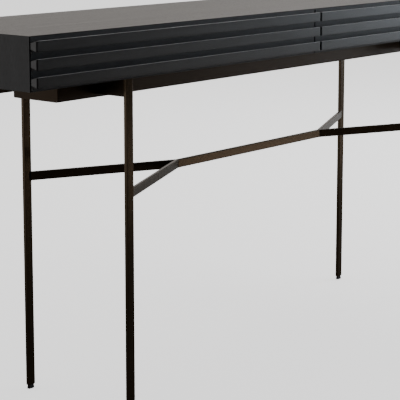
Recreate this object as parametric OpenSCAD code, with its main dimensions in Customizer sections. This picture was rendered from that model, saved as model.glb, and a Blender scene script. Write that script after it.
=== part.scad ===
// Writing desk: a shallow case with two drawers on a slender flat-bar frame.
// The origin is on the floor, under the middle of the desk.
// X runs along the length, the drawer fronts face -Y and Z is up.

/* [Overall size] */
// Length of the case
desk_length = 1660; // [1360:10:2200]
// Depth from the face of the drawer slats to the back
desk_depth = 368; // [300:2:480]
// Height of the top above the floor
desk_height = 760; // [620:5:920]
// Height of the case, from its underside to the top
case_height = 96; // [88:1:130]

/* [Case panels] */
// Thickness of the top, bottom and side panels
panel_thickness = 18; // [15:0.5:22]
// Thickness of the back panel
back_thickness = 12; // [9:0.5:16]
// How far the back panel lies inside the rear edges
back_recess = 2; // [0:0.5:6]
// Thickness of the divider between the drawers
divider_thickness = 18; // [17:0.5:24]

/* [Drawer fronts] */
// Thickness of each front board
front_thickness = 18; // [15:0.5:22]
// Gap between a front board and the case round it
front_gap = 1.5; // [1:0.1:3]
// Gap between the two drawer fronts
centre_gap = 3.5; // [2:0.1:6]
// How far the slats stand out from the front board
slat_projection = 16; // [10:0.5:22]
// Height of a slat at its face
slat_face_height = 20; // [16:0.5:24]
// Height of a slat where it meets the front board
slat_root_height = 11.4; // [8:0.1:18]
// Distance from the edge of the case to the first slat
slat_margin = 7; // [5:0.5:12]
// Width of the small flat on each long edge of a slat
slat_arris = 0.6; // [0.2:0.1:1.2]

/* [Drawer boxes] */
// Height of the box sides
box_height = 48; // [42:1:50]
// Room behind a closed box, in front of the back panel
box_rear_gap = 20; // [8:1:40]
// Thickness of the box sides, front and back
box_wall = 12; // [10:0.5:15]
// Thickness of the box bottom
box_base = 6; // [4:0.5:8]
// Height of the bottom above the lower edge of the sides
box_base_lift = 6; // [4:0.5:10]
// Depth of the groove that holds the bottom
groove_depth = 5; // [3:0.5:6]

/* [Runners] */
// Runners come in lengths that step by this much
runner_step = 50; // [10:10:50]
// Distance from a front board to the ends of its runners
runner_setback = 3; // [2:0.5:8]
// Height of the rail that is fixed to the case
runner_height = 35; // [30:0.5:42]
// Space between the box and the case that a runner fills
runner_space = 12.7; // [12:0.1:16]
// Thickness of the runner steel
runner_steel = 1.2; // [1:0.1:1.6]

/* [Frame bars] */
// Width of the flat bar, across the front of a leg
bar_width = 18; // [14:0.5:24]
// Thickness of the flat bar
bar_thickness = 8; // [6:0.5:10]
// Width of the small flat on each edge of the bar
bar_arris = 1; // [0.3:0.1:2.5]
// Distance from the end of the case to the middle of a leg
leg_inset_x = 275; // [200:5:330]
// Distance from the face of the slats, or from the back, to the middle of a leg
leg_inset_y = 45; // [44:0.5:60]
// Height of the middle of the stretcher above the floor
stretcher_height = 441; // [350:1:540]
// Distance along X from the legs to the fork of the stretcher
fork_reach = 298; // [220:1:360]
// How far an arm laps past the inner edge of its leg
arm_lap = 4; // [2:0.5:6]

/* [Beam and brackets] */
// Width of the box beam under the case
beam_width = 118; // [90:1:142]
// Height of the box beam
beam_height = 46; // [36:1:60]
// Wall thickness of the beam
beam_wall = 2.5; // [2:0.1:4]
// How far the beam runs past the middle of the legs
beam_overhang = 105; // [60:1:150]
// Thickness of the plate that closes each end of the beam
end_cap_thickness = 3; // [2:0.5:5]
// Height of a leg bracket with its flange
bracket_height = 39; // [30:1:46]
// Width of the bracket's flange
flange_width = 40; // [34:1:60]
// Thickness of the bracket's flange
flange_thickness = 4; // [3:0.5:6]

/* [Cable tray] */
// Length of the tray
tray_length = 1400; // [900:10:1420]
// Width of the tray from front to back
tray_width = 30; // [20:1:34]
// Depth of the tray below the case
tray_drop = 51; // [40:1:70]
// Height of the tray's front wall
tray_lip = 30; // [15:1:34]
// Thickness of the tray's steel
tray_steel = 1.5; // [1:0.1:2]
// Width of the flange that fixes the tray to the case
tray_flange = 14; // [12:0.5:20]
// Distance from the back of the case to the tray
tray_setback = 6; // [2:0.5:10]

/* [Glides] */
// Height of a glide between the floor and the leg
glide_height = 8.5; // [6:0.5:14]
// Margin by which the pad is smaller than the leg on each side
glide_margin = 1; // [0.5:0.1:2]
// Diameter of the peg that holds the glide in the leg
peg_diameter = 4; // [3:0.5:5]
// Length of the peg
peg_length = 12; // [8:1:20]

/* [Screws] */
// Diameter of a screw's shank
screw_diameter = 3.8; // [3:0.1:4.5]
// Diameter of a screw's head
screw_head = 8; // [6:0.5:9]
// Thickness of a screw's head
screw_head_height = 2; // [1.5:0.1:2.2]
// Length of a screw in the wood
screw_bite = 8; // [5:0.5:8.5]
// Number of screws along the cable tray
tray_screw_count = 5; // [3:1:7]

/* [Hidden] */

$fn = 32;

// Colours of the pieces
CHARCOAL_OAK = "#3a3c40";
BRONZE_STEEL = "#33271d";
BIRCH_PLY = "#c8ac80";
ZINC_STEEL = "#a9adb0";
BLACK_NYLON = "#17181a";

// A cut runs this far past the face that it leaves
cut_over = 1;
// Room round a screw in the piece that it passes through
screw_clearance = 0.2;
// Room round a screw or a peg in the hole that holds it
pilot_clearance = 0.1;
// Room between the box bottom and its groove
groove_clearance = 0.1;
// Thickness of the glide's foot, and how far it is wider than the neck
glide_foot = 4;
glide_flare = 0.5;
// How much narrower the glide's neck is than its foot, at each end
glide_neck_step = 1;
// Room for the balls above and below a middle rail
rail_play = 2.2;
// Room for the balls above and below a box rail
rail_inner_play = 1.76;
// Room between the webs of a case rail and its middle rail
rail_web_gap = 2.8;
// Room between the flange tips of a box rail and the middle rail's web
rail_tip_gap = 1.7;
// Room between a middle rail's flange tips and the box rail's web
rail_face_gap = 0.5;

// Planes of the case
end_x = desk_length / 2;
front_y = -desk_depth / 2 + slat_projection;
back_y = desk_depth / 2;
case_z = desk_height - case_height;
inner_x = end_x - panel_thickness;
floor_z = case_z + panel_thickness;
ceiling_z = desk_height - panel_thickness;
inner_back_y = back_y - back_recess - back_thickness;

// Drawer fronts
board_back_y = front_y + front_thickness;
slat_pitch = (case_height - 2 * slat_margin - slat_face_height) / 2;
middle_z = (case_z + desk_height) / 2;

// Drawer boxes, measured for the left drawer and mirrored for the right
bay_outer_x = -inner_x;
bay_inner_x = -divider_thickness / 2;
box_outer_x = bay_outer_x + runner_space;
box_inner_x = bay_inner_x - runner_space;
box_z = middle_z - box_height / 2;
base_z = box_z + box_base_lift;
box_back_y = inner_back_y - box_rear_gap;
box_depth = box_back_y - board_back_y;

// Runners
runner_y = board_back_y + runner_setback;
runner_length = floor((inner_back_y - runner_y) / runner_step) * runner_step;
middle_height = runner_height - 2 * runner_steel - 2 * rail_play;
box_rail_height = middle_height - 2 * runner_steel - 2 * rail_inner_play;
runner_screw_inset = 40;

// Frame
leg_x = end_x - leg_inset_x;
leg_y = desk_depth / 2 - leg_inset_y;
leg_face_y = leg_y - bar_thickness / 2;
fork_x = leg_x - fork_reach;
arm_angle = atan(leg_y / fork_reach);
beam_end_x = leg_x + beam_overhang;
beam_z = case_z - beam_height;
flange_z = case_z - flange_thickness;
bracket_y = beam_width / 2;
bracket_reach = leg_face_y - bracket_y;
bracket_screw_x = (flange_width + bar_thickness) / 4;
bracket_screw_inset = 18;

// Cable tray
tray_back_y = back_y - tray_setback;
tray_front_y = tray_back_y - tray_width;
tray_screw_y = tray_back_y - tray_steel - tray_flange / 2;
tray_screw_end = 60;

// Screws through the box front
front_screw_end = 60;
front_screw_count = 4;

// ---------- shared shapes ----------

// A screw with its head below the origin and its shank running up +Z
module screw(through) {
    translate([0, 0, -screw_head_height])
        cylinder(h = screw_head_height, d = screw_head);
    cylinder(h = through + screw_bite, d = screw_diameter);
}

// The hole that the screw above passes through
module screw_hole(through) {
    translate([0, 0, -cut_over])
        cylinder(h = through + 2 * cut_over, d = screw_diameter + 2 * screw_clearance);
}

// The blind hole that the screw above bites into
module pilot_hole() {
    translate([0, 0, -cut_over])
        cylinder(h = screw_bite + pilot_clearance + cut_over, d = screw_diameter + 2 * pilot_clearance);
}

// Section of the flat bar with its small edge flats, width along the first axis
module bar_section(width, thickness, arris) {
    w = width / 2;
    t = thickness / 2;
    polygon([
        [-w + arris, -t], [w - arris, -t], [w, -t + arris], [w, t - arris],
        [w - arris, t], [-w + arris, t], [-w, t - arris], [-w, -t + arris]
    ]);
}

// A bar on edge, from the origin along +X
module edge_bar(length) {
    rotate([90, 0, 90])
        linear_extrude(length)
            bar_section(bar_thickness, bar_width, bar_arris);
}

// Mirrors its children to one of the four legs
module at_corner(side, end) {
    mirror([side < 0 ? 1 : 0, 0, 0])
        mirror([0, end < 0 ? 1 : 0, 0])
            children();
}

// ---------- case ----------

// Space inside the 45 degree mitres that meet at the front arrises
module case_wedge(depth) {
    intersection() {
        translate([0, back_y, 0])
            rotate([90, 0, 0])
                linear_extrude(back_y - front_y)
                    polygon([
                        [-end_x, desk_height], [end_x, desk_height],
                        [end_x - depth, desk_height - depth], [-end_x + depth, desk_height - depth]
                    ]);
        translate([-end_x, 0, 0])
            rotate([90, 0, 90])
                linear_extrude(desk_length)
                    polygon([
                        [front_y, desk_height], [back_y, desk_height],
                        [back_y, desk_height - depth], [front_y + depth, desk_height - depth]
                    ]);
    }
}

module top_panel() {
    color(CHARCOAL_OAK) case_wedge(panel_thickness);
}

module bottom_panel() {
    color(CHARCOAL_OAK)
        difference() {
            translate([0, 0, 2 * middle_z])
                mirror([0, 0, 1])
                    case_wedge(panel_thickness);
            for (side = [-1, 1], end = [-1, 1])
                at_corner(side, end)
                    bracket_screw_places() pilot_hole();
            tray_screw_places() pilot_hole();
        }
}

module side_panel(side) {
    color(CHARCOAL_OAK)
        mirror([side < 0 ? 1 : 0, 0, 0])
            difference() {
                intersection() {
                    translate([0, back_y, 0])
                        rotate([90, 0, 0])
                            linear_extrude(back_y - front_y)
                                polygon([
                                    [end_x, case_z], [end_x, desk_height],
                                    [inner_x, ceiling_z], [inner_x, floor_z]
                                ]);
                    translate([0, 0, case_z])
                        linear_extrude(case_height)
                            polygon([
                                [end_x, front_y], [end_x, back_y],
                                [inner_x, back_y], [inner_x, front_y + panel_thickness]
                            ]);
                }
                translate([inner_x, 0, 0])
                    rail_screw_places() pilot_hole();
            }
}

module back_panel() {
    color(CHARCOAL_OAK)
        translate([-inner_x, inner_back_y, floor_z])
            cube([2 * inner_x, back_thickness, ceiling_z - floor_z]);
}

module centre_divider() {
    color(CHARCOAL_OAK)
        difference() {
            translate([-divider_thickness / 2, runner_y, floor_z])
                cube([divider_thickness, inner_back_y - runner_y, ceiling_z - floor_z]);
            for (side = [-1, 1])
                mirror([side < 0 ? 1 : 0, 0, 0])
                    translate([divider_thickness / 2, 0, 0])
                        mirror([1, 0, 0])
                            rail_screw_places() pilot_hole();
        }
}

// ---------- runners ----------

// A rolled channel along Y, with its web at x = 0 and its flanges towards +X
module rail(height, reach) {
    h = height / 2;
    translate([0, runner_y + runner_length, middle_z])
        rotate([90, 0, 0])
            linear_extrude(runner_length)
                polygon([
                    [0, -h], [reach, -h], [reach, -h + runner_steel], [runner_steel, -h + runner_steel],
                    [runner_steel, h - runner_steel], [reach, h - runner_steel], [reach, h], [0, h]
                ]);
}

// Two places on a wall that faces -X, with the screw pointing along +X
module rail_screw_places() {
    for (y = [runner_y + runner_screw_inset, runner_y + runner_length - runner_screw_inset])
        translate([0, y, middle_z])
            rotate([0, 90, 0])
                children();
}

// Puts a rail that starts at x = 0 on the left or right wall of a drawer's bay
module in_bay(drawer, side) {
    mirror([drawer < 0 ? 0 : 1, 0, 0]) {
        if (side == drawer)
            translate([bay_outer_x, 0, 0]) children();
        else
            translate([bay_inner_x, 0, 0]) mirror([1, 0, 0]) children();
    }
}

module case_rail(drawer, side) {
    color(ZINC_STEEL)
        in_bay(drawer, side)
            difference() {
                rail(runner_height, runner_space - runner_steel - rail_web_gap + rail_face_gap);
                translate([runner_steel, 0, 0])
                    mirror([1, 0, 0])
                        rail_screw_places() screw_hole(runner_steel);
            }
}

module middle_rail(drawer, side) {
    web_x = runner_steel + rail_web_gap;
    color(ZINC_STEEL)
        in_bay(drawer, side)
            translate([web_x, 0, 0])
                rail(middle_height, runner_space - runner_steel - rail_face_gap - web_x);
}

module box_rail(drawer, side) {
    web_x = 2 * runner_steel + rail_web_gap;
    color(ZINC_STEEL)
        in_bay(drawer, side)
            translate([runner_space, 0, 0])
                mirror([1, 0, 0])
                    rail(box_rail_height, runner_space - web_x - rail_tip_gap);
}

module runner_screws() {
    color(ZINC_STEEL)
        for (drawer = [-1, 1], side = [-1, 1])
            in_bay(drawer, side)
                translate([runner_steel, 0, 0])
                    mirror([1, 0, 0])
                        rail_screw_places() screw(runner_steel);
}

// ---------- drawers ----------

// Every drawer piece is drawn for the left drawer and mirrored for the right
module drawer_side(drawer) {
    mirror([drawer < 0 ? 0 : 1, 0, 0]) children();
}

// Front board: its top, bottom and outer edges are mitred to match the case
module drawer_front(drawer) {
    outer_x = -end_x + front_gap;
    centre_x = -centre_gap / 2;
    low_z = case_z + front_gap;
    high_z = desk_height - front_gap;
    color(CHARCOAL_OAK)
        drawer_side(drawer)
            difference() {
                intersection() {
                    translate([0, 0, low_z])
                        linear_extrude(high_z - low_z)
                            polygon([
                                [outer_x, front_y], [centre_x, front_y],
                                [centre_x, board_back_y], [outer_x + front_thickness, board_back_y]
                            ]);
                    translate([outer_x, 0, 0])
                        rotate([90, 0, 90])
                            linear_extrude(centre_x - outer_x)
                                polygon([
                                    [front_y, low_z], [board_back_y, low_z + front_thickness],
                                    [board_back_y, high_z - front_thickness], [front_y, high_z]
                                ]);
                }
                front_screw_places(board_back_y) pilot_hole();
            }
}

// Slat number -1, 0 or 1, from the bottom up: a dovetail section, widest at its face
module drawer_slat(drawer, number) {
    f = slat_face_height / 2;
    r = slat_root_height / 2;
    face_y = front_y - slat_projection;
    flank = (f - r) / slat_projection;
    outer_x = -end_x + front_gap;
    color(CHARCOAL_OAK)
        drawer_side(drawer)
            translate([outer_x, 0, middle_z + number * slat_pitch])
                rotate([90, 0, 90])
                    linear_extrude(end_x - front_gap - centre_gap / 2)
                        polygon([
                            [front_y, -r], [front_y, r],
                            [face_y + slat_arris, f - flank * slat_arris], [face_y, f - slat_arris],
                            [face_y, -f + slat_arris], [face_y + slat_arris, -f + flank * slat_arris]
                        ]);
}

// The bottom with its tongue, grown by a clearance when it cuts the grooves
module box_panel(grow) {
    translate([
        box_outer_x + box_wall - groove_depth - grow,
        board_back_y + box_wall - groove_depth - grow,
        base_z - grow
    ])
        cube([
            box_inner_x - box_outer_x - 2 * (box_wall - groove_depth - grow),
            box_depth - 2 * (box_wall - groove_depth - grow),
            box_base + 2 * grow
        ]);
}

// A wall of the box that runs along Y, with its groove
module box_side(drawer, side) {
    x = side == drawer ? box_outer_x : box_inner_x - box_wall;
    color(BIRCH_PLY)
        drawer_side(drawer)
            difference() {
                translate([x, board_back_y, box_z])
                    cube([box_wall, box_depth, box_height]);
                box_panel(groove_clearance);
            }
}

// A wall of the box that runs along X, between the two sides
module box_cross_wall(y) {
    difference() {
        translate([box_outer_x + box_wall, y, box_z])
            cube([box_inner_x - box_outer_x - 2 * box_wall, box_wall, box_height]);
        box_panel(groove_clearance);
    }
}

module box_front(drawer) {
    color(BIRCH_PLY)
        drawer_side(drawer)
            difference() {
                box_cross_wall(board_back_y);
                front_screw_places(board_back_y + box_wall) screw_hole(box_wall);
            }
}

module box_back(drawer) {
    color(BIRCH_PLY)
        drawer_side(drawer)
            box_cross_wall(box_back_y - box_wall);
}

module box_bottom(drawer) {
    color(BIRCH_PLY)
        drawer_side(drawer)
            box_panel(0);
}

// Places along a wall that faces +Y, with the screw pointing along -Y
module front_screw_places(y) {
    first_x = box_outer_x + box_wall + front_screw_end;
    last_x = box_inner_x - box_wall - front_screw_end;
    for (i = [0 : front_screw_count - 1])
        translate([first_x + i * (last_x - first_x) / (front_screw_count - 1), y, middle_z + box_base])
            rotate([90, 0, 0])
                children();
}

module front_screws(drawer) {
    color(ZINC_STEEL)
        drawer_side(drawer)
            front_screw_places(board_back_y + box_wall) screw(box_wall);
}

// ---------- beam and brackets ----------

module main_beam() {
    half = beam_end_x - end_cap_thickness;
    color(BRONZE_STEEL)
        difference() {
            translate([-half, -beam_width / 2, beam_z])
                cube([2 * half, beam_width, beam_height]);
            translate([-half - cut_over, -beam_width / 2 + beam_wall, beam_z + beam_wall])
                cube([2 * (half + cut_over), beam_width - 2 * beam_wall, beam_height - 2 * beam_wall]);
        }
}

module beam_end_cap(side) {
    color(BRONZE_STEEL)
        mirror([side < 0 ? 1 : 0, 0, 0])
            translate([beam_end_x - end_cap_thickness, -beam_width / 2, beam_z])
                cube([end_cap_thickness, beam_width, beam_height]);
}

// Two places under a bracket's flange, one on each side of its web
module bracket_screw_places() {
    for (i = [-1, 1])
        translate([
            leg_x + i * bracket_screw_x,
            bracket_y + bracket_reach / 2 + i * (bracket_reach / 2 - bracket_screw_inset),
            case_z
        ])
            children();
}

// T-shaped bracket from the side of the beam to the inner face of a leg
module bracket(side, end) {
    color(BRONZE_STEEL)
        at_corner(side, end)
            difference() {
                union() {
                    translate([leg_x - bar_thickness / 2, bracket_y, case_z - bracket_height])
                        cube([bar_thickness, bracket_reach, bracket_height]);
                    translate([leg_x - flange_width / 2, bracket_y, flange_z])
                        cube([flange_width, bracket_reach, flange_thickness]);
                }
                translate([0, 0, -flange_thickness])
                    bracket_screw_places() screw_hole(flange_thickness);
            }
}

module bracket_screws() {
    color(ZINC_STEEL)
        for (side = [-1, 1], end = [-1, 1])
            at_corner(side, end)
                translate([0, 0, -flange_thickness])
                    bracket_screw_places() screw(flange_thickness);
}

// ---------- legs and stretcher ----------

module leg(side, end) {
    color(BRONZE_STEEL)
        at_corner(side, end)
            difference() {
                translate([leg_x, leg_y, glide_height])
                    linear_extrude(case_z - glide_height)
                        bar_section(bar_width, bar_thickness, bar_arris);
                translate([leg_x, leg_y, glide_height - cut_over])
                    cylinder(
                        h = peg_length + pilot_clearance + cut_over,
                        d = peg_diameter + 2 * pilot_clearance
                    );
            }
}

// Nylon glides: a foot and a narrower neck, held by a peg in the end of the leg
module leg_glides() {
    neck_width = bar_width - 2 * glide_margin - 2 * glide_flare - 2 * glide_neck_step;
    neck_thickness = bar_thickness - glide_margin - 2 * glide_flare;
    color(BLACK_NYLON)
        for (side = [-1, 1], end = [-1, 1])
            at_corner(side, end)
                translate([leg_x, leg_y, 0]) {
                    linear_extrude(glide_foot)
                        bar_section(neck_width + 2 * glide_flare, neck_thickness + 2 * glide_flare, bar_arris);
                    translate([0, 0, glide_foot])
                        linear_extrude(glide_height - glide_foot)
                            bar_section(neck_width, neck_thickness, bar_arris);
                    cylinder(h = glide_height + peg_length, d = peg_diameter);
                }
}

// Everything beyond the plane that halves the angle between an arm and the long bar
module fork_half_space(flip) {
    size = desk_length;
    translate([fork_x, 0, stretcher_height])
        rotate([0, 0, arm_angle / 2 + 90])
            translate([-size / 2, flip ? -size : 0, -size / 2])
                cube([size, size, size]);
}

// Arm of the stretcher, from the fork to its leg
module arm(side, end) {
    spare = 2 * bar_width;
    color(BRONZE_STEEL)
        at_corner(side, end)
            difference() {
                translate([fork_x, 0, stretcher_height])
                    rotate([0, 0, arm_angle])
                        translate([-spare, 0, 0])
                            edge_bar(norm([fork_reach, leg_y]) + 2 * spare);
                fork_half_space(false);
                translate([0, -desk_depth, stretcher_height - bar_width])
                    cube([desk_length, desk_depth, 2 * bar_width]);
                translate([leg_x - bar_width / 2 + arm_lap, 0, stretcher_height - bar_width])
                    cube([desk_length, desk_depth, 2 * bar_width]);
                translate([leg_x - bar_width / 2, leg_y - bar_thickness / 2, stretcher_height - bar_width])
                    cube([bar_width, 2 * bar_width, 2 * bar_width]);
            }
}

// Long bar between the two forks, with a blunt point at each end
module long_stretcher() {
    half = fork_x + bar_width;
    color(BRONZE_STEEL)
        difference() {
            translate([-half, 0, stretcher_height])
                edge_bar(2 * half);
            for (side = [-1, 1], end = [-1, 1])
                at_corner(side, end)
                    fork_half_space(true);
        }
}

// ---------- cable tray ----------

module tray_screw_places() {
    first_x = -tray_length / 2 + tray_screw_end;
    for (i = [0 : tray_screw_count - 1])
        translate([
            first_x + i * (tray_length - 2 * tray_screw_end) / (tray_screw_count - 1),
            tray_screw_y,
            case_z
        ])
            children();
}

// Folded channel with a fixing flange at the top of its back wall
module cable_tray() {
    low_z = case_z - tray_drop;
    s = tray_steel;
    color(BRONZE_STEEL)
        difference() {
            translate([-tray_length / 2, 0, 0])
                rotate([90, 0, 90])
                    linear_extrude(tray_length)
                        polygon([
                            [tray_front_y, low_z], [tray_back_y, low_z],
                            [tray_back_y, case_z], [tray_back_y - s - tray_flange, case_z],
                            [tray_back_y - s - tray_flange, case_z - s], [tray_back_y - s, case_z - s],
                            [tray_back_y - s, low_z + s], [tray_front_y + s, low_z + s],
                            [tray_front_y + s, low_z + tray_lip], [tray_front_y, low_z + tray_lip]
                        ]);
            translate([0, 0, -tray_steel])
                tray_screw_places() screw_hole(tray_steel);
        }
}

module tray_screws() {
    color(ZINC_STEEL)
        translate([0, 0, -tray_steel])
            tray_screw_places() screw(tray_steel);
}

top_panel();
bottom_panel();
side_panel(-1);  // left_side_panel
side_panel(1);  // right_side_panel
back_panel();
centre_divider();
main_beam();
beam_end_cap(-1);  // left_beam_end_cap
beam_end_cap(1);  // right_beam_end_cap
bracket(-1, -1);  // front_left_bracket
bracket(1, -1);  // front_right_bracket
bracket(-1, 1);  // rear_left_bracket
bracket(1, 1);  // rear_right_bracket
leg(-1, -1);  // front_left_leg
leg(1, -1);  // front_right_leg
leg(-1, 1);  // rear_left_leg
leg(1, 1);  // rear_right_leg
arm(-1, -1);  // front_left_arm
arm(1, -1);  // front_right_arm
arm(-1, 1);  // rear_left_arm
arm(1, 1);  // rear_right_arm
long_stretcher();
leg_glides();
bracket_screws();
cable_tray();
tray_screws();
runner_screws();
case_rail(-1, -1);  // left_drawer_left_case_rail
case_rail(-1, 1);  // left_drawer_right_case_rail
case_rail(1, -1);  // right_drawer_left_case_rail
case_rail(1, 1);  // right_drawer_right_case_rail
middle_rail(-1, -1);  // left_drawer_left_middle_rail
middle_rail(-1, 1);  // left_drawer_right_middle_rail
middle_rail(1, -1);  // right_drawer_left_middle_rail
middle_rail(1, 1);  // right_drawer_right_middle_rail
box_rail(-1, -1);  // left_drawer_left_box_rail
box_rail(-1, 1);  // left_drawer_right_box_rail
box_rail(1, -1);  // right_drawer_left_box_rail
box_rail(1, 1);  // right_drawer_right_box_rail
drawer_front(-1);  // left_drawer_front
drawer_slat(-1, 1);  // left_drawer_top_slat
drawer_slat(-1, 0);  // left_drawer_middle_slat
drawer_slat(-1, -1);  // left_drawer_bottom_slat
box_front(-1);  // left_drawer_box_front
box_back(-1);  // left_drawer_box_back
box_side(-1, -1);  // left_drawer_box_left_side
box_side(-1, 1);  // left_drawer_box_right_side
box_bottom(-1);  // left_drawer_box_bottom
front_screws(-1);  // left_drawer_front_screws
drawer_front(1);  // right_drawer_front
drawer_slat(1, 1);  // right_drawer_top_slat
drawer_slat(1, 0);  // right_drawer_middle_slat
drawer_slat(1, -1);  // right_drawer_bottom_slat
box_front(1);  // right_drawer_box_front
box_back(1);  // right_drawer_box_back
box_side(1, -1);  // right_drawer_box_left_side
box_side(1, 1);  // right_drawer_box_right_side
box_bottom(1);  // right_drawer_box_bottom
front_screws(1);  // right_drawer_front_screws
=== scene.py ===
import math

import bmesh
import bpy
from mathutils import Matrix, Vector


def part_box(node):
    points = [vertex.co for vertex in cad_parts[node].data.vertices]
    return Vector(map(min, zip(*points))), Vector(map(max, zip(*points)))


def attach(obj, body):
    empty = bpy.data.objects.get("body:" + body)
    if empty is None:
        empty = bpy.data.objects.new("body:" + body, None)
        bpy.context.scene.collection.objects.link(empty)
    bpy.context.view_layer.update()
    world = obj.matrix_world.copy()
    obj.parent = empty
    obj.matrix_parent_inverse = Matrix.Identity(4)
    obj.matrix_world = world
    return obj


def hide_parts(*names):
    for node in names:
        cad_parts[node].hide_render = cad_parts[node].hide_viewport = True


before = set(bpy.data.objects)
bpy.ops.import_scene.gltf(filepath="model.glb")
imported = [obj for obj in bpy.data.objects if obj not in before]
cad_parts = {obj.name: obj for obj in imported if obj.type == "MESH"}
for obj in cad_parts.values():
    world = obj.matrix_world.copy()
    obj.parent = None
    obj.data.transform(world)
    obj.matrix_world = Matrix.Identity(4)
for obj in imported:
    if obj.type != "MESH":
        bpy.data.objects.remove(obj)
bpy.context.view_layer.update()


# ---------- Table top ----------
# An 18 mm board faced with oak veneer, stained charcoal under a satin lacquer, with its grain along the desk.
# Its two ends and its front edge are cut at 45 degrees and glued to the sides, so no board edge is seen.

def sawn_block(name, low, high):
    """A block cut to size between two corners, left open for shaping."""
    bpy.ops.object.select_all(action="DESELECT")
    middle = [(a + b) / 2 for a, b in zip(low, high)]
    size = [b - a for a, b in zip(low, high)]
    bpy.ops.mesh.primitive_cube_add(size=1, location=middle, scale=size)
    block = bpy.context.object
    block.name = name
    block.data.name = name
    bpy.ops.object.transform_apply(location=True, rotation=True, scale=True)
    bpy.ops.object.mode_set(mode="EDIT")
    return block


def saw(point, waste):
    """Cuts the open piece along a plane through point and drops the side that waste points to."""
    bpy.ops.mesh.select_all(action="SELECT")
    outwards = Vector(waste).normalized()
    bpy.ops.mesh.bisect(plane_co=point, plane_no=outwards, use_fill=True, clear_outer=True, threshold=0.00001)


def close_piece(piece):
    """Merges doubles, turns the faces outwards, ends the shaping and gives the piece back."""
    bpy.ops.mesh.select_all(action="SELECT")
    bpy.ops.mesh.remove_doubles(threshold=0.000001)
    bpy.ops.mesh.normals_make_consistent(inside=False)
    bpy.ops.object.mode_set(mode="OBJECT")
    return piece


def ease_edges(piece, radius, steps=2):
    """Rounds every sharp edge of a closed piece and keeps its large faces flat."""
    bpy.ops.object.select_all(action="DESELECT")
    piece.select_set(True)
    bpy.context.view_layer.objects.active = piece
    eased = piece.modifiers.new("eased edges", "BEVEL")
    eased.width = radius
    eased.segments = steps
    eased.limit_method = "ANGLE"
    eased.angle_limit = math.radians(25)
    bpy.ops.object.modifier_apply(modifier=eased.name)
    bpy.ops.object.shade_smooth_by_angle(angle=math.radians(50))
    flat = piece.modifiers.new("flat faces", "WEIGHTED_NORMAL")
    flat.keep_sharp = True
    bpy.ops.object.modifier_apply(modifier=flat.name)


def fit(piece, body, slot, finish, *nodes):
    """Gives a piece its finish and its body, and hides the nodes that it stands for. The slot is not used."""
    if not piece.data.materials:
        piece.data.materials.append(finish)
    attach(piece, body)
    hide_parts(*nodes)


class Value:
    """A number in a material. Sums on it add the nodes that work them out."""

    def __init__(self, recipe, socket):
        self.recipe = recipe
        self.socket = socket

    def work(self, operation, first, second):
        return self.recipe.node("ShaderNodeMath", {"operation": operation}, {0: first, 1: second})

    def __add__(self, other):
        return self.work("ADD", self, other)

    def __radd__(self, other):
        return self.work("ADD", other, self)

    def __sub__(self, other):
        return self.work("SUBTRACT", self, other)

    def __rsub__(self, other):
        return self.work("SUBTRACT", other, self)

    def __mul__(self, other):
        return self.work("MULTIPLY", self, other)

    def __rmul__(self, other):
        return self.work("MULTIPLY", other, self)


class Recipe:
    """The nodes of one finish, or of the studio's world."""

    def __init__(self, name, fixed, kind="materials", shader="Principled BSDF"):
        self.finish = getattr(bpy.data, kind).new(name)
        self.finish.use_nodes = True
        self.tree = self.finish.node_tree
        self.shader = self.tree.nodes[shader]
        for socket, value in fixed.items():
            self.shader.inputs[socket].default_value = value

    def node(self, kind, settings=None, sockets=None, output=0):
        """Adds a node: its settings first, then the values or links of its sockets."""
        made = self.tree.nodes.new(kind)
        for name, value in (settings or {}).items():
            if name == "stops":
                for _ in range(len(value) - 2):
                    made.color_ramp.elements.new(0.5)
                for element, (place, grey) in zip(made.color_ramp.elements, value):
                    element.position = place
                    element.color = (grey, grey, grey, 1)
            else:
                setattr(made, name, value)
        for name, value in (sockets or {}).items():
            if isinstance(value, Value):
                self.tree.links.new(value.socket, made.inputs[name])
            else:
                made.inputs[name].default_value = value
        return Value(self, made.outputs[output])

    def stretched_noise(self, scale, detail=2.0, rough=0.5, distortion=0.0):
        """Noise with its own scale, in cells a metre, along each axis."""
        place = self.node("ShaderNodeTexCoord", output="Object")
        spread = self.node("ShaderNodeVectorMath", {"operation": "MULTIPLY"}, {0: place, 1: scale})
        return self.node("ShaderNodeTexNoise", None, {
            "Vector": spread, "Scale": 1.0, "Detail": detail, "Roughness": rough, "Distortion": distortion,
        })

    def ramp(self, value, stops):
        """Reads a value through a grey ramp."""
        return self.node("ShaderNodeValToRGB", {"stops": stops}, {"Fac": value})

    def blend(self, share, first, second):
        """Mixes two colours by a share."""
        return self.node("ShaderNodeMix", {"data_type": "RGBA"}, {0: share, 6: first, 7: second}, output=2)

    def feed(self, varying):
        """Links what varies to the shader's sockets and gives the finish back."""
        for socket, value in varying.items():
            self.tree.links.new(value.socket, self.shader.inputs[socket])
        return self.finish

    def relief(self, height, depth, strength):
        """A bump from a height between 0 and 1, depth metres deep."""
        return self.node("ShaderNodeBump", None, {"Height": height, "Distance": depth, "Strength": strength})


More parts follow.
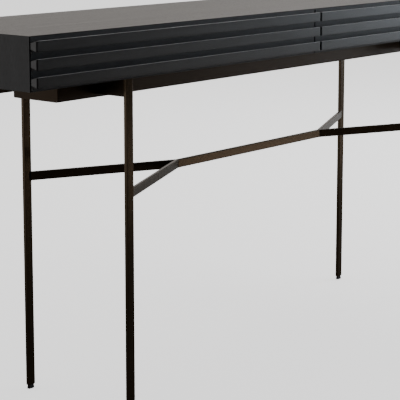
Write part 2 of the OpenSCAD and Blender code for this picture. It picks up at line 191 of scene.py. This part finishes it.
def charcoal_oak(name, grain, dark, light, gloss, shine=0.5):
    """Oak veneer stained charcoal, its grain along one axis: 0 is X, 1 is Y and 2 is Z."""
    def scale(along, across):
        cells = [across] * 3
        cells[grain] = along
        return cells

    recipe = Recipe(name, {"IOR": 1.45, "Specular IOR Level": shine, "Coat Weight": 0.0})
    figure = recipe.stretched_noise(scale(0.8, 7.0), detail=1.5, distortion=0.3)
    rings = recipe.node("ShaderNodeMath", {"operation": "SINE"}, {0: figure * 70.0})
    streaks = recipe.stretched_noise(scale(3.0, 190.0), detail=4.0, rough=0.65)
    leaves = recipe.stretched_noise(scale(0.6, 2.4), detail=1.0)
    pores = recipe.ramp(recipe.stretched_noise(scale(70.0, 1900.0), detail=2.0), [(0.54, 0.0), (0.66, 1.0)])
    tone = 0.5 + rings * 0.16 + (streaks - 0.5) * 1.1 + (leaves - 0.5) * 0.5
    wood = recipe.blend(tone, (*dark, 1), (*light, 1))
    shade = [part * 0.45 for part in dark]
    pored = recipe.blend(pores * 0.55, wood, (*shade, 1))
    rough = gloss + (streaks - 0.5) * 0.16 + pores * 0.12
    height = 0.6 - pores * 0.6 + rings * 0.08
    bump = recipe.relief(height, 0.00012, 0.35)
    return recipe.feed({"Base Color": pored, "Roughness": rough, "Normal": bump})


top_oak = charcoal_oak("charcoal_oak_top", 0, (0.016, 0.0145, 0.013), (0.033, 0.030, 0.028), 0.3)
blunt = 0.0009
board_ease = 0.0004
low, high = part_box("top_panel")
table_top = sawn_block("table_top", low, high)
saw((low.x, 0, high.z), (-1, 0, -1))
saw((high.x, 0, high.z), (1, 0, -1))
saw((0, low.y, high.z), (0, -1, -1))
saw((0, low.y + blunt, 0), (0, -1, 0))
close_piece(table_top)
ease_edges(table_top, board_ease)
fit(table_top, "case_and_frame", "top_veneer", top_oak, "top_panel")


# ---------- Case floor ----------
# The same veneered board as the top, turned over: its ends and front edge are mitred the other way.
# The steel frame and the cable tray are screwed up into it from below.

low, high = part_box("bottom_panel")
case_floor = sawn_block("case_floor", low, high)
saw((low.x, 0, low.z), (-1, 0, 1))
saw((high.x, 0, low.z), (1, 0, 1))
saw((0, low.y, low.z), (0, -1, 1))
saw((0, low.y + blunt, 0), (0, -1, 0))
close_piece(case_floor)
ease_edges(case_floor, board_ease)
case_oak = charcoal_oak("charcoal_oak_case", 0, (0.010, 0.010, 0.011), (0.022, 0.022, 0.023), 0.4)
fit(case_floor, "case_and_frame", "case_veneer", case_oak, "bottom_panel")


# ---------- Case sides ----------
# Two short veneered boards that stand on end, so that their grain runs up from the floor to the top.
# Three of their edges are mitred, and the right one is the mirror of the left.

def mirrored_copy(piece, name, across_x=True, across_y=False):
    """A copy on the other side of the desk, with its own mesh."""
    bpy.ops.object.select_all(action="DESELECT")
    piece.select_set(True)
    bpy.context.view_layer.objects.active = piece
    bpy.ops.object.duplicate()
    twin = bpy.context.object
    twin.name = name
    twin.data.name = name
    twin.scale = (-1 if across_x else 1, -1 if across_y else 1, 1)
    bpy.ops.object.transform_apply(location=True, rotation=True, scale=True)
    bpy.ops.object.mode_set(mode="EDIT")
    return close_piece(twin)


low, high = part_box("left_side_panel")
left_case_side = sawn_block("left_case_side", low, high)
saw((low.x, 0, high.z), (1, 0, 1))
saw((low.x, 0, low.z), (1, 0, -1))
saw((low.x, low.y, 0), (1, -1, 0))
saw((0, low.y + blunt, 0), (0, -1, 0))
close_piece(left_case_side)
right_case_side = mirrored_copy(left_case_side, "right_case_side")
side_oak = charcoal_oak("charcoal_oak_sides", 2, (0.010, 0.010, 0.0115), (0.022, 0.022, 0.0245), 0.42, 0.3)
for piece, node in ((left_case_side, "left_side_panel"), (right_case_side, "right_side_panel")):
    ease_edges(piece, board_ease)
    fit(piece, "case_and_frame", "case_veneer", side_oak, node)


# ---------- Back and divider ----------
# A 12 mm back let into the case between its four boards, and an upright board that parts the two drawers.
# Both are veneered to match, and the divider carries a pair of runners on each face.

back_low, back_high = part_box("back_panel")
case_back = close_piece(sawn_block("case_back", back_low, back_high))
divider_low, divider_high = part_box("centre_divider")
case_divider = close_piece(sawn_block("case_divider", divider_low, divider_high))
for piece, node in ((case_back, "back_panel"), (case_divider, "centre_divider")):
    ease_edges(piece, 0.0005)
    fit(piece, "case_and_frame", "case_veneer", case_oak, node)


# ---------- Runners ----------
# Each side of a drawer hangs on three rolled steel channels, zinc plated, that slide inside each other.
# The outer one is screwed to the case, the inner one to the drawer box, and the middle one travels half as far.

def cad_copy(name, node):
    """A copy of a node's loose triangles, merged into whole faces and left closed."""
    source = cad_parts[node]
    bpy.ops.object.select_all(action="DESELECT")
    piece = bpy.data.objects.new(name, source.data.copy())
    piece.data.name = name
    piece.data.materials.clear()
    bpy.context.scene.collection.objects.link(piece)
    piece.select_set(True)
    bpy.context.view_layer.objects.active = piece
    bpy.ops.object.mode_set(mode="EDIT")
    bpy.ops.mesh.select_all(action="SELECT")
    bpy.ops.mesh.remove_doubles(threshold=0.000002)
    bpy.ops.mesh.dissolve_limited(angle_limit=math.radians(1))
    bpy.ops.object.mode_set(mode="OBJECT")
    return piece


def zinc_plate(name):
    """Bright zinc with faint rolling marks along the rails."""
    recipe = Recipe(name, {"Metallic": 1.0, "IOR": 1.5})
    marks = recipe.stretched_noise([900.0, 6.0, 900.0], detail=3.0)
    spangle = recipe.stretched_noise([130.0, 130.0, 130.0], detail=2.0)
    colour = recipe.blend(marks * 0.6 + spangle * 0.4, (0.34, 0.35, 0.36, 1), (0.62, 0.63, 0.64, 1))
    rough = 0.24 + spangle * 0.14 + marks * 0.06
    bump = recipe.relief(marks, 0.00003, 0.3)
    return recipe.feed({"Base Color": colour, "Roughness": rough, "Normal": bump})


def plate_screws(*nodes):
    """Gives zinc to the screws of some nodes, which keep the shape they come with."""
    for node in nodes:
        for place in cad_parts[node].material_slots:
            place.material = zinc


zinc = zinc_plate("zinc_plate")
for drawer in ("left", "right"):
    bodies = {"case": "case_and_frame", "middle": drawer + "_middle_rails", "box": drawer + "_drawer"}
    for side in ("left", "right"):
        for rail, body in bodies.items():
            node = drawer + "_drawer_" + side + "_" + rail + "_rail"
            channel = cad_copy(drawer + "_" + side + "_" + rail + "_channel", node)
            ease_edges(channel, 0.0003)
            fit(channel, body, "zinc_steel", zinc, node)
plate_screws("runner_screws", "left_drawer_front_screws", "right_drawer_front_screws")


# ---------- Drawer boxes ----------
# Two shallow boxes of 12 mm birch plywood, nine plies, with a 6 mm bottom let into a groove all round.
# The faces are pale rotary-cut birch under clear lacquer, and the cut edges show the plies as stripes.

def birch_ply(name, across, start, ply):
    """Birch plywood whose plies lie across one axis, the first one at start, each ply metres thick."""
    recipe = Recipe(name, {"IOR": 1.5, "Coat Roughness": 0.3, "Coat Weight": 0.15})
    cells = [34.0, 34.0, 34.0]
    cells[1 if across == 0 else 0] = 1.5
    flame = recipe.stretched_noise(cells, detail=3.0, distortion=0.8)
    bands = recipe.node("ShaderNodeMath", {"operation": "SINE"}, {0: flame * 34.0})
    fibre = recipe.stretched_noise([cell * 26.0 for cell in cells], detail=2.0)
    place = recipe.node("ShaderNodeTexCoord", output="Object")
    parts = recipe.node("ShaderNodeSeparateXYZ", None, {0: place}, output=across)
    layer = (parts - start) * (1 / (2 * ply))
    turn = recipe.node("ShaderNodeMath", {"operation": "PINGPONG"}, {0: layer, 1: 0.5})
    end_ply = recipe.ramp(turn, [(0.22, 0.0), (0.28, 1.0)])
    tone = 0.5 + bands * 0.1 + (fibre - 0.5) * 0.8
    face = recipe.blend(tone, (0.50, 0.34, 0.19, 1), (0.68, 0.52, 0.33, 1))
    colour = recipe.blend(end_ply * 0.55, face, (0.27, 0.155, 0.075, 1))
    rough = 0.42 + (fibre - 0.5) * 0.2 + end_ply * 0.14
    height = fibre * 0.5 - end_ply * 0.4
    bump = recipe.relief(height, 0.00015, 0.3)
    return recipe.feed({"Base Color": colour, "Roughness": rough, "Normal": bump})


walls = {"front": (1, 9), "back": (1, 9), "left_side": (0, 9), "right_side": (0, 9), "bottom": (2, 5)}
for drawer in ("left", "right"):
    for wall, (across, plies) in walls.items():
        node = drawer + "_drawer_box_" + wall
        low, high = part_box(node)
        ply = (high[across] - low[across]) / plies
        birch = birch_ply("birch_" + drawer + "_" + wall, across, low[across], ply)
        board = cad_copy(drawer + "_box_" + wall, node)
        ease_edges(board, 0.0005)
        fit(board, drawer + "_drawer", "birch_ply", birch, node)


# ---------- Drawer fronts ----------
# An 18 mm board, mitred at its top, foot and outer edge so that it closes into the mitred mouth of the case.
# It is screwed on from inside the box, and it shows only as the dark grooves between its slats.

low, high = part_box("left_drawer_front")
left_front_board = sawn_block("left_front_board", low, high)
saw((0, low.y, high.z), (0, 1, 1))
saw((0, low.y, low.z), (0, 1, -1))
saw((low.x, low.y, 0), (-1, 1, 0))
close_piece(left_front_board)
right_front_board = mirrored_copy(left_front_board, "right_front_board")
# Painted light: the board's veneer is paler than the slats' same stain, which lifts the shaded grooves between
# them.
board_oak_painted_light = charcoal_oak("charcoal_oak_boards_painted_light", 0, (0.016, 0.016, 0.018), (0.034, 0.034, 0.038), 0.5, 0.45)
for piece, drawer in ((left_front_board, "left"), (right_front_board, "right")):
    ease_edges(piece, board_ease)
    fit(piece, drawer + "_drawer", "front_veneer", board_oak_painted_light, drawer + "_drawer_front")


# ---------- Slats ----------
# Three solid oak slats are glued along each front and stand 16 mm proud of it.
# Each is a dovetail in section, widest at its face. Its top arris has a painted highlight: a pale stain that
# stands in for the light it catches.

def pick_faces(piece, test):
    """Selects the faces of the open piece whose middle and normal pass a test."""
    bpy.ops.mesh.select_mode(type="FACE")
    bpy.ops.mesh.select_all(action="DESELECT")
    shape = bmesh.from_edit_mesh(piece.data)
    for face in shape.faces:
        face.select_set(test(face.calc_center_median(), face.normal))
    bmesh.update_edit_mesh(piece.data)


slat_root = 0.0114
end_arris = 0.0016
slat_names = ("top", "middle", "bottom")
low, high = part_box("left_drawer_top_slat")
undercut = (high.z - low.z - slat_root) / 2
first_slat = sawn_block("left_top_slat", low, high)
saw((0, low.y, high.z), (0, undercut, high.y - low.y))
saw((0, low.y, low.z), (0, undercut, low.y - high.y))
saw((low.x, low.y + end_arris, 0), (-1, -1, 0))
saw((high.x, low.y + end_arris, 0), (1, -1, 0))
close_piece(first_slat)
left_slats = [first_slat]
for name in slat_names[1:]:
    bpy.ops.object.select_all(action="DESELECT")
    first_slat.select_set(True)
    bpy.context.view_layer.objects.active = first_slat
    bpy.ops.object.duplicate()
    slat = bpy.context.object
    slat.name = "left_" + name + "_slat"
    slat.location.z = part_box("left_drawer_" + name + "_slat")[0].z - low.z
    bpy.ops.object.transform_apply(location=True, rotation=True, scale=True)
    left_slats.append(slat)
slat_oak = charcoal_oak(
    "charcoal_oak_slats", 0, (0.0078, 0.0078, 0.0092), (0.0176, 0.0178, 0.0205), 0.34, 0.47)
# Painted highlight: a pale stain on the slats' top arrises stands in for the light they catch.
painted_highlight_oak = charcoal_oak("charcoal_oak_painted_highlights", 0, (0.30, 0.30, 0.306), (0.50, 0.50, 0.51), 0.3, 0.8)
for name, slat in zip(slat_names, left_slats):
    pair = (("left", slat), ("right", mirrored_copy(slat, "right_" + name + "_slat")))
    for drawer, piece in pair:
        ease_edges(piece, 0.0008, 3)
        piece.data.materials.append(slat_oak)
        piece.data.materials.append(painted_highlight_oak)
        bpy.ops.object.mode_set(mode="EDIT")
        # The faces of the top arris take the painted highlight.
        pick_faces(piece, lambda middle, normal: normal.y < -0.2 and normal.z > 0.2)
        piece.active_material_index = 1
        bpy.ops.object.material_slot_assign()
        bpy.ops.object.mode_set(mode="OBJECT")
        fit(piece, drawer + "_drawer", "front_veneer", slat_oak, drawer + "_drawer_" + name + "_slat")


# ---------- Beam ----------
# A flat rectangular steel tube under the middle of the case, its long corners rounded by the rolling mill.
# Each end is closed by a 3 mm plate, welded on and ground flush, and the whole frame is coated dark bronze.

def pick_edges(piece, test):
    """Selects the edges of the open piece whose two ends pass a test."""
    bpy.ops.mesh.select_mode(type="EDGE")
    bpy.ops.mesh.select_all(action="DESELECT")
    shape = bmesh.from_edit_mesh(piece.data)
    for edge in shape.edges:
        edge.select_set(test(edge.verts[0].co, edge.verts[1].co))
    bmesh.update_edit_mesh(piece.data)


def bronze_coat(name, scale, gloss, coat, dark, light):
    """Dark bronze metallic powder coat: fine flake, a slight orange peel and paler rubbed patches."""
    fixed = {"Metallic": 0.7, "Specular IOR Level": 0.25, "Coat Weight": coat, "Coat Roughness": 0.16}
    recipe = Recipe(name, fixed)
    flake = recipe.stretched_noise([2600.0, 2600.0, 2600.0], detail=1.0)
    cloud = recipe.stretched_noise(scale, detail=3.0, rough=0.6)
    peel = recipe.stretched_noise([520.0, 520.0, 520.0], detail=1.5)
    tone = 0.5 + (flake - 0.5) * 0.9 + (cloud - 0.5) * 0.8
    colour = recipe.blend(tone, (*dark, 1), (*light, 1))
    rough = gloss + (cloud - 0.5) * 0.14 + (flake - 0.5) * 0.1
    bump = recipe.relief(peel, 0.00006, 0.25)
    return recipe.feed({"Base Color": colour, "Roughness": rough, "Normal": bump})


tube_radius = 0.003
tube_wall = 0.0025
# Painted shade: this copy of the coat, on the tube, its plates, the brackets and the tray, is darker than the
# bars' copy, for the shade under the case.
bronze = bronze_coat(
    "dark_bronze", [9.0, 9.0, 9.0], 0.42, 0.0, (0.010, 0.0054, 0.0015), (0.029, 0.0157, 0.0055))
low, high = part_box("main_beam")
beam_tube = sawn_block("beam_tube", low, high)
pick_edges(beam_tube, lambda a, b: abs(a.x - b.x) > 0.1)
bpy.ops.mesh.bevel(offset=tube_radius, segments=5, affect="EDGES")
pick_faces(beam_tube, lambda middle, normal: abs(normal.x) > 0.9)
bpy.ops.mesh.delete(type="FACE")
bpy.ops.object.mode_set(mode="OBJECT")
wall = beam_tube.modifiers.new("tube wall", "SOLIDIFY")
wall.thickness = tube_wall
wall.offset = -1
bpy.ops.object.modifier_apply(modifier=wall.name)
ease_edges(beam_tube, 0.0002, 1)
fit(beam_tube, "case_and_frame", "bronze_steel", bronze, "main_beam")
low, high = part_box("left_beam_end_cap")
left_cap = sawn_block("left_beam_plate", low, high)
pick_edges(left_cap, lambda a, b: abs(a.x - b.x) > 0.001)
bpy.ops.mesh.bevel(offset=tube_radius, segments=5, affect="EDGES")
close_piece(left_cap)
right_cap = mirrored_copy(left_cap, "right_beam_plate")
for piece, node in ((left_cap, "left_beam_end_cap"), (right_cap, "right_beam_end_cap")):
    ease_edges(piece, 0.0004)
    fit(piece, "case_and_frame", "bronze_steel", bronze, node)


# ---------- Brackets ----------
# Four T-shaped brackets reach from the beam to the legs: an upright 8 mm web under a 4 mm flange.
# A weld runs along both sides of the web, and two screws go up through each flange into the case floor.

web_thickness = 0.008
flange_thickness = 0.004
weld_width = 0.003
hair = 0.00001
low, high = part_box("front_left_bracket")
web_x = (low.x + high.x) / 2
flange_z = high.z - flange_thickness
front_left_bracket = sawn_block("front_left_tee", (low.x, low.y, flange_z), high)
for x in (web_x - web_thickness / 2, web_x + web_thickness / 2):
    bpy.ops.mesh.select_all(action="SELECT")
    bpy.ops.mesh.bisect(plane_co=(x, 0, 0), plane_no=(1, 0, 0))
pick_faces(front_left_bracket, lambda middle, normal: normal.z < -0.9 and abs(middle.x - web_x) < 0.001)
bpy.ops.mesh.extrude_region_move(TRANSFORM_OT_translate={"value": (0, 0, low.z - flange_z)})
pick_edges(front_left_bracket, lambda a, b: abs(a.z - flange_z) < hair and abs(b.z - flange_z) < hair
           and abs(a.y - b.y) > 0.01 and abs(abs(a.x - web_x) - web_thickness / 2) < hair)
bpy.ops.mesh.bevel(offset=weld_width, segments=3, affect="EDGES")
close_piece(front_left_bracket)
brackets = {"front_left": front_left_bracket}
brackets["front_right"] = mirrored_copy(front_left_bracket, "front_right_tee")
brackets["rear_left"] = mirrored_copy(front_left_bracket, "rear_left_tee", False, True)
brackets["rear_right"] = mirrored_copy(front_left_bracket, "rear_right_tee", True, True)
for corner, piece in brackets.items():
    ease_edges(piece, 0.0006)
    fit(piece, "case_and_frame", "bronze_steel", bronze, corner + "_bracket")
plate_screws("bracket_screws")


# ---------- Legs ----------
# Four flat bars, 18 by 8 mm, stand upright from the glides to the case floor.
# The bar comes from the mill with small rounded arrises, and each leg is welded to the end of its bracket.

bar_radius = 0.0011
low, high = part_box("front_left_leg")
front_left_leg = sawn_block("front_left_upright", low, high)
pick_edges(front_left_leg, lambda a, b: abs(a.z - b.z) > 0.1)
bpy.ops.mesh.bevel(offset=bar_radius, segments=4, affect="EDGES")
close_piece(front_left_leg)
legs = {"front_left": front_left_leg}
legs["front_right"] = mirrored_copy(front_left_leg, "front_right_upright")
legs["rear_left"] = mirrored_copy(front_left_leg, "rear_left_upright", False, True)
legs["rear_right"] = mirrored_copy(front_left_leg, "rear_right_upright", True, True)
# Painted light: the bars' copy of the same coat is paler than the one on the tube under the case.
bar_bronze_painted_light = bronze_coat(
    "bronze_bars_painted_light", [30.0, 30.0, 3.0], 0.25, 0.05, (0.024, 0.0145, 0.0055), (0.066, 0.043, 0.0215))
for corner, piece in legs.items():
    ease_edges(piece, 0.0003)
    fit(piece, "case_and_frame", "bronze_steel", bar_bronze_painted_light, corner + "_leg")


# ---------- Stretcher ----------
# The same flat bar on edge joins the four legs low down: two arms at each end meet in a fork,
# and one long bar ties the forks. The mitred joints are welded and ground smooth.

stretcher_bar = cad_copy("stretcher_bar", "long_stretcher")
ease_edges(stretcher_bar, 0.0007, 3)
fit(stretcher_bar, "case_and_frame", "bronze_steel", bar_bronze_painted_light, "long_stretcher")
for corner in ("front_left", "front_right", "rear_left", "rear_right"):
    fork_arm = cad_copy(corner + "_fork_arm", corner + "_arm")
    ease_edges(fork_arm, 0.0007, 3)
    fit(fork_arm, "case_and_frame", "bronze_steel", bar_bronze_painted_light, corner + "_arm")


# ---------- Glides ----------
# Black nylon feet, each with a narrow neck and a peg that is knocked up into a bore in the end of the leg.
# The foot is a little smaller than the leg and rounded where it meets the floor.

def black_nylon(name):
    """Moulded nylon with a fine spark-eroded texture."""
    recipe = Recipe(name, {"IOR": 1.53, "Specular IOR Level": 0.4})
    grit = recipe.stretched_noise([1800.0, 1800.0, 1800.0], detail=2.0)
    colour = recipe.blend(grit, (0.006, 0.006, 0.006, 1), (0.014, 0.013, 0.012, 1))
    rough = 0.42 + grit * 0.2
    bump = recipe.relief(grit, 0.00005, 0.4)
    return recipe.feed({"Base Color": colour, "Roughness": rough, "Normal": bump})


nylon = black_nylon("black_nylon")
foot_height = 0.004
neck_inset = 0.0005
foot_radius = 0.001
all_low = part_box("leg_glides")[0]
leg_low, leg_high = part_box("front_left_leg")
leg_x = (leg_low.x + leg_high.x) / 2
leg_y = (leg_low.y + leg_high.y) / 2
foot_high = (2 * leg_x - all_low.x, 2 * leg_y - all_low.y, foot_height)
front_left_glide = sawn_block("front_left_glide", all_low, foot_high)
pick_edges(front_left_glide, lambda a, b: abs(a.z - b.z) > 0.001)
bpy.ops.mesh.bevel(offset=foot_radius, segments=3, affect="EDGES")
pick_faces(front_left_glide, lambda middle, normal: normal.z > 0.9)
bpy.ops.mesh.inset(thickness=neck_inset)
bpy.ops.mesh.extrude_region_move(TRANSFORM_OT_translate={"value": (0, 0, leg_low.z - foot_height)})
close_piece(front_left_glide)
glides = [front_left_glide]
glides.append(mirrored_copy(front_left_glide, "front_right_glide"))
glides.append(mirrored_copy(front_left_glide, "rear_left_glide", False, True))
glides.append(mirrored_copy(front_left_glide, "rear_right_glide", True, True))
for piece in glides:
    ease_edges(piece, 0.0004)
    fit(piece, "case_and_frame", "black_nylon", nylon, "leg_glides")


# ---------- Cable tray ----------
# A channel folded from 1.5 mm sheet steel hangs under the back of the case floor and hides the cables.
# Its back wall is folded over at the top into a flange, which five screws hold up to the case.

tray_steel = 0.0015
tray_lip = 0.030
tray_flange = 0.014
tray_bend = 0.0022
near = 0.0001
low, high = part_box("cable_tray")
cable_tray = sawn_block("folded_tray", (low.x, low.y, low.z), (high.x, high.y, low.z + tray_lip))
pick_faces(cable_tray, lambda middle, normal: abs(normal.x) > 0.9 or normal.z > 0.9)
bpy.ops.mesh.delete(type="FACE")
pick_edges(cable_tray, lambda a, b: min(a.z, b.z) > low.z + tray_lip - near
           and min(a.y, b.y) > high.y - near)
bpy.ops.mesh.extrude_region_move(TRANSFORM_OT_translate={"value": (0, 0, high.z - low.z - tray_lip)})
bpy.ops.mesh.extrude_region_move(TRANSFORM_OT_translate={"value": (0, -tray_flange - tray_steel, 0)})
pick_edges(cable_tray, lambda a, b: abs(a.x - b.x) > 0.1 and abs(a.z - b.z) < near and abs(a.y - b.y) < near
           and (a.z < low.z + near or (a.z > high.z - near and a.y > high.y - near)))
bpy.ops.mesh.bevel(offset=tray_bend, segments=4, affect="EDGES")
bpy.ops.mesh.select_all(action="SELECT")
bpy.ops.mesh.remove_doubles(threshold=0.000001)
bpy.ops.object.mode_set(mode="OBJECT")
sheet = cable_tray.modifiers.new("sheet steel", "SOLIDIFY")
sheet.thickness = tray_steel
sheet.offset = -1
bpy.ops.object.modifier_apply(modifier=sheet.name)
ease_edges(cable_tray, 0.0003, 1)
fit(cable_tray, "case_and_frame", "bronze_steel", bronze, "cable_tray")
plate_screws("tray_screws")


# ---------- Studio ----------
# A plain pale floor, under softboxes above, to the right, at the left rear and low over the floor at the right.
# To everything but the camera, the room and the floor are dim in front of the desk and bright behind it.
# The camera stands to the left of the front, a little above the table top.

bpy.ops.object.select_all(action="DESELECT")
bpy.ops.mesh.primitive_plane_add(size=40, location=(0, 0, 0))
floor = bpy.context.object
floor.name = "floor"
paint = Recipe("pale_floor", {"Specular IOR Level": 0.0, "Roughness": 0.8})
tint = paint.stretched_noise([2.0, 2.0, 2.0], detail=3.0)
paint.feed({"Base Color": paint.blend(tint, (0.23, 0.225, 0.215, 1), (0.27, 0.265, 0.255, 1))})
pale = paint.node("ShaderNodeBsdfDiffuse", None, {"Color": (0.86, 0.86, 0.86, 1)})
glow = paint.node("ShaderNodeEmission", None, {"Color": (1, 1, 1, 1), "Strength": 1.2})
lit = paint.node("ShaderNodeAddShader", None, {0: pale, 1: glow})
direct = paint.node("ShaderNodeLightPath", output="Is Camera Ray")
place = paint.node("ShaderNodeTexCoord", output="Object")
behind = paint.node("ShaderNodeSeparateXYZ", None, {0: place}, output=1)
ground = {"Value": behind, "From Min": 0.5, "From Max": 1.6, "To Max": 0.5}
rear = paint.node("ShaderNodeMapRange", None, ground)
shown = direct + rear * (1 - direct)
spill = Value(paint, paint.shader.outputs[0])
seen_floor = paint.node("ShaderNodeMixShader", None, {0: shown, 1: spill, 2: lit})
paint.tree.links.new(seen_floor.socket, paint.tree.nodes["Material Output"].inputs["Surface"])
floor.data.materials.append(paint.finish)


def soft_light(name, place, aim, width, height, power, tint=(1, 1, 1)):
    """A rectangular softbox at a place, turned towards a point."""
    bpy.ops.object.select_all(action="DESELECT")
    turn = (Vector(aim) - Vector(place)).to_track_quat("-Z", "Y").to_euler()
    bpy.ops.object.light_add(type="AREA", location=place, rotation=turn)
    lamp = bpy.context.object
    lamp.name = name
    lamp.data.shape = "RECTANGLE"
    lamp.data.size = width
    lamp.data.size_y = height
    lamp.data.energy = power
    lamp.data.color = tint


soft_light("overhead_softbox", (2.6, -0.5, 3.05), (1.9, -0.4, 0.0), 5.6, 0.9, 66)
soft_light("right_softbox", (4.4, -1.5, 1.25), (0.2, -0.1, 0.7), 2.2, 2.1, 78, (0.84, 0.92, 1.0))
soft_light("left_rear_softbox", (-2.9, 2.0, 0.62), (-0.6, 0.0, 0.6), 1.5, 1.1, 5)
soft_light("floor_softbox", (1.9, -1.5, 0.22), (1.9, -1.499, 0.0), 1.3, 0.9, 40, (1.0, 0.86, 0.74))

sky = Recipe("studio", {}, "worlds", "Background")
heading = sky.node("ShaderNodeTexCoord", output="Generated")
depth = sky.node("ShaderNodeSeparateXYZ", None, {0: heading}, output="Y")
share = sky.node("ShaderNodeMapRange", None, {"Value": depth, "From Min": -0.5, "From Max": 0.6})
room = sky.blend(share, (0.05, 0.05, 0.055, 1), (0.62, 0.585, 0.555, 1))
ray = sky.node("ShaderNodeLightPath", output="Is Camera Ray")
bpy.context.scene.world = sky.feed({"Color": sky.blend(ray, room, (1.35, 1.35, 1.35, 1))})

bpy.ops.object.camera_add(
    location=(-2.4720, -1.9162, 0.9827),
    rotation=(math.radians(90 - 8.40), 0, math.radians(-50.089)))
camera = bpy.context.object
camera.name = "camera"
camera.data.sensor_width = 36
camera.data.lens = 127.58
camera.data.shift_y = -0.22
camera.data.clip_end = 100
bpy.context.scene.camera = camera
